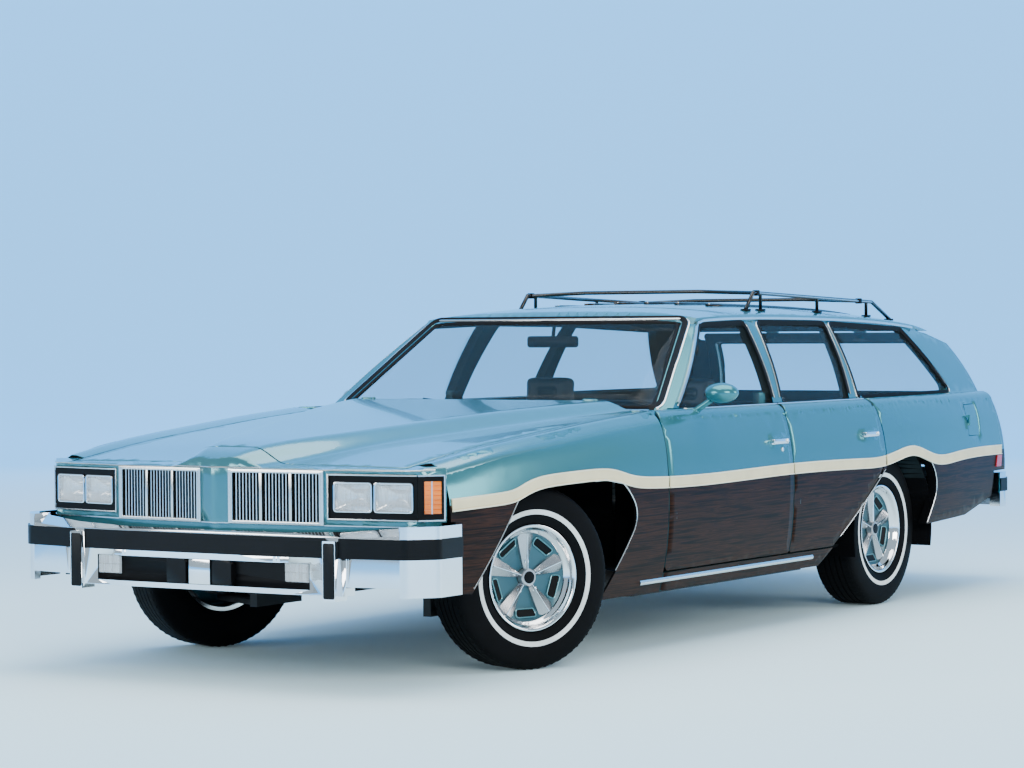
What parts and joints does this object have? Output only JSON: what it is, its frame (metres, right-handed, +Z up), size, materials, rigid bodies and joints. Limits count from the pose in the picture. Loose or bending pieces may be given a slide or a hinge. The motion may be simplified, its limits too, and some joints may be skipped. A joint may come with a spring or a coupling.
{
  "type": "station wagon",
  "caption": "Mid-size station wagon with bright bumpers, a crossed roof rack, four side doors, a top-hinged liftgate, and steered front wheels.",
  "frame": {"origin": "on the floor under the middle of the car, half way along and across it", "axes": "+Y to the rear along the car, +X to the car's left, +Z up"},
  "size_m": [2.0936, 5.471, 1.4696],
  "materials": {
    "paint": "glossy blue-green enamel, with a wood-look panel and a cream strip below the belt",
    "underbody_paint": "dark satin underbody paint",
    "chassis_black": "satin black chassis paint",
    "bright_trim": "bright chrome plate",
    "black_rubber": "matt black rubber",
    "lamp_glass": "fluted clear lamp glass",
    "amber_lens": "ribbed amber lens",
    "red_lens": "ribbed red lens",
    "glass": "clear tinted safety glass",
    "rack_metal": "bright rails",
    "cabin_plastic": "dark grained plastic",
    "seat_cover": "grained vinyl cover",
    "cast_metal": "rough casting",
    "exhaust_steel": "dull sheet steel",
    "wheel_silver": "painted spokes with a bright trim ring",
    "tyre_rubber": "black rubber with a white ring"
  },
  "bodies": {
    "body": {"body_sides": "paint", "roof": "paint", "floor_pan": "underbody_paint", "front_fenders": "paint", "header_panel": "paint", "cowl": "paint", "frame": "chassis_black", "bumper_front": "bright_trim", "bumper_rear": "bright_trim", "bumper_rubber": "black_rubber", "grille": "bright_trim", "headlamps": "lamp_glass", "turn_lamps": "amber_lens", "tail_lamps": "red_lens", "windshield": "glass", "quarter_glass": "glass", "roof_rack": "rack_metal", "dashboard": "cabin_plastic", "front_seat": "seat_cover", "rear_seat": "seat_cover", "interior_mirror": "cabin_plastic", "engine_block": "cast_metal", "rear_axle": "chassis_black", "exhaust": "exhaust_steel", "fuel_tank": "exhaust_steel", "front_suspension": "chassis_black"},
    "steer_left": {"knuckle_left": "cast_metal"},
    "steer_right": {"knuckle_right": "cast_metal"},
    "steering_wheel": {"steering_wheel": "cabin_plastic"},
    "hood": {"hood": "paint"},
    "liftgate": {"liftgate": "paint", "liftgate_glass": "glass"},
    "fuel_door": {"fuel_door": "paint"},
    "wheel_front_left": {"rim_front_left": "wheel_silver", "tyre_front_left": "tyre_rubber"},
    "wheel_front_right": {"rim_front_right": "wheel_silver", "tyre_front_right": "tyre_rubber"},
    "wheel_rear_left": {"rim_rear_left": "wheel_silver", "tyre_rear_left": "tyre_rubber"},
    "wheel_rear_right": {"rim_rear_right": "wheel_silver", "tyre_rear_right": "tyre_rubber"},
    "door_front_left": {"door_front_left": "paint", "glass_front_left": "glass"},
    "door_front_right": {"door_front_right": "paint", "glass_front_right": "glass"},
    "door_rear_left": {"door_rear_left": "paint", "glass_rear_left": "glass"},
    "door_rear_right": {"door_rear_right": "paint", "glass_rear_right": "glass"}
  },
  "joints": [
    {"name": "steer_left", "type": "hinge", "parent": "body", "child": "steer_left", "pos_m": [0.69, -1.7105, 0.352], "axis": [0, 0, 1], "range_deg": [-12, 56]},
    {"name": "steer_right", "type": "hinge", "parent": "body", "child": "steer_right", "pos_m": [-0.69, -1.7105, 0.352], "axis": [0, 0, 1], "range_deg": [-12, 56]},
    {"name": "steering_wheel_turn", "type": "hinge", "parent": "body", "child": "steering_wheel", "pos_m": [0.37, -0.3549, 0.781], "axis": [0, 0.8829, 0.4695], "range_deg": [-168, 784]},
    {"name": "wheel_front_left_spin", "type": "hinge", "parent": "steer_left", "child": "wheel_front_left", "pos_m": [0.7753, -1.74496, 0.352], "axis": [0.9272, -0.3746, 0], "continuous": true},
    {"name": "wheel_front_right_spin", "type": "hinge", "parent": "steer_right", "child": "wheel_front_right", "pos_m": [-0.7753, -1.67604, 0.352], "axis": [0.9272, -0.3746, 0], "continuous": true},
    {"name": "wheel_rear_left_spin", "type": "hinge", "parent": "body", "child": "wheel_rear_left", "pos_m": [0.776, 1.2355, 0.352], "axis": [1, 0, 0], "continuous": true},
    {"name": "wheel_rear_right_spin", "type": "hinge", "parent": "body", "child": "wheel_rear_right", "pos_m": [-0.776, 1.2355, 0.352], "axis": [1, 0, 0], "continuous": true},
    {"name": "door_front_left_hinge", "type": "hinge", "parent": "body", "child": "door_front_left", "pos_m": [0.968, -0.878, 0.62], "axis": [0, 0, -1], "range_deg": [0, 65]},
    {"name": "door_front_right_hinge", "type": "hinge", "parent": "body", "child": "door_front_right", "pos_m": [-0.968, -0.878, 0.62], "axis": [0, 0, 1], "range_deg": [0, 65]},
    {"name": "door_rear_left_hinge", "type": "hinge", "parent": "body", "child": "door_rear_left", "pos_m": [0.968, 0.208, 0.62], "axis": [0, 0, -1], "range_deg": [0, 65]},
    {"name": "door_rear_right_hinge", "type": "hinge", "parent": "body", "child": "door_rear_right", "pos_m": [-0.968, 0.208, 0.62], "axis": [0, 0, 1], "range_deg": [0, 65]},
    {"name": "hood_hinge", "type": "hinge", "parent": "body", "child": "hood", "pos_m": [0, -0.862, 1.003], "axis": [-1, 0, 0], "range_deg": [0, 45]},
    {"name": "liftgate_hinge", "type": "hinge", "parent": "body", "child": "liftgate", "pos_m": [0, 2.29065, 1.262], "axis": [1, 0, 0], "range_deg": [0, 78]},
    {"name": "fuel_door_hinge", "type": "hinge", "parent": "body", "child": "fuel_door", "pos_m": [0.93749, 2.085, 0.832], "axis": [0, 0, -1], "range_deg": [0, 100]}
  ],
  "couplings": [
    {"joint": "steer_right", "follows": "steer_left", "ratio": 1},
    {"joint": "steering_wheel_turn", "follows": "steer_left", "ratio": 14}
  ]
}
